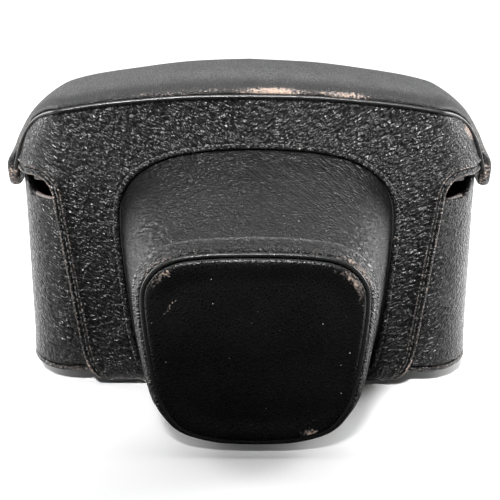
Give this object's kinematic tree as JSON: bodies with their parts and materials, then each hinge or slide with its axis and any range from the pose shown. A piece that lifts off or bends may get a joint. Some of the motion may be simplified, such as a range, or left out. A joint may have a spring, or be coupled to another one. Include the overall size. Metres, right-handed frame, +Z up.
{
  "type": "camera ever-ready case",
  "caption": "Moulded leather ever-ready case for a single-lens reflex camera, with a hinged cover, a boxed nose for the lens, a snap tongue and a retaining screw.",
  "frame": {"origin": "centre of the tripod socket in the retaining screw's head, on the plane that the case stands on", "axes": "+X along the case to the right as seen from the nose's side, -Y towards the nose, +Z up; the socket opens along -Z"},
  "size_m": [0.1632, 0.1029, 0.106],
  "materials": {
    "grained_leather": "black pebble-grained leather, semi-gloss, scuffed at the edges",
    "smooth_leather": "black fine-grained leather with a polished sheen",
    "matte_leather": "black fine-grained leather, worn matte and greyish",
    "piping_leather": "black leather piping, satin",
    "flocked_lining": "dark red flocked lining",
    "fibre_board": "plain brown fibre board",
    "nickel": "nickel plate, lightly scratched"
  },
  "bodies": {
    "lower_case": {"case_wall": "grained_leather", "case_board": "fibre_board", "case_lining": "flocked_lining", "bottom_panel": "grained_leather", "bottom_board": "fibre_board", "bottom_lining": "flocked_lining", "screw_washer": "nickel", "bottom_stud_left": "nickel", "bottom_stud_right": "nickel", "back_stud_left": "nickel", "back_stud_right": "nickel", "hinge_strap": "grained_leather", "strap_cap_left": "nickel", "strap_cap_right": "nickel"},
    "cover": {"top_strip": "matte_leather", "top_board": "fibre_board", "top_lining": "flocked_lining", "front_panel": "grained_leather", "front_board": "fibre_board", "front_lining": "flocked_lining", "back_panel": "grained_leather", "back_board": "fibre_board", "back_lining": "flocked_lining", "top_front_piping": "piping_leather", "top_back_piping": "piping_leather", "nose_wall": "smooth_leather", "nose_flange": "smooth_leather", "nose_rim_welt": "piping_leather", "nose_face": "smooth_leather", "nose_face_board": "fibre_board", "nose_lining": "flocked_lining"},
    "tongue": {"snap_tongue": "grained_leather", "tongue_cap_left": "nickel", "tongue_cap_right": "nickel", "tongue_socket_left": "nickel", "tongue_socket_right": "nickel"},
    "screw": {"retaining_screw": "nickel", "screw_clip": "nickel"}
  },
  "joints": [
    {"name": "cover_hinge", "type": "hinge", "parent": "lower_case", "child": "cover", "pos_m": [0, 0.0228, 0.0755], "axis": [-1, 0, 0], "range_deg": [0, 160], "deforming": ["hinge_strap", "snap_tongue", "tongue_cap_left", "tongue_cap_right", "tongue_socket_left", "tongue_socket_right"]},
    {"name": "tongue_fold", "type": "hinge", "parent": "cover", "child": "tongue", "pos_m": [0, -0.0242, 0.0041], "axis": [-1, 0, 0], "range_deg": [0, 95]},
    {"name": "screw_turn", "type": "hinge", "parent": "lower_case", "child": "screw", "pos_m": [0, 0, 0], "axis": [0, 0, 1], "continuous": true}
  ]
}
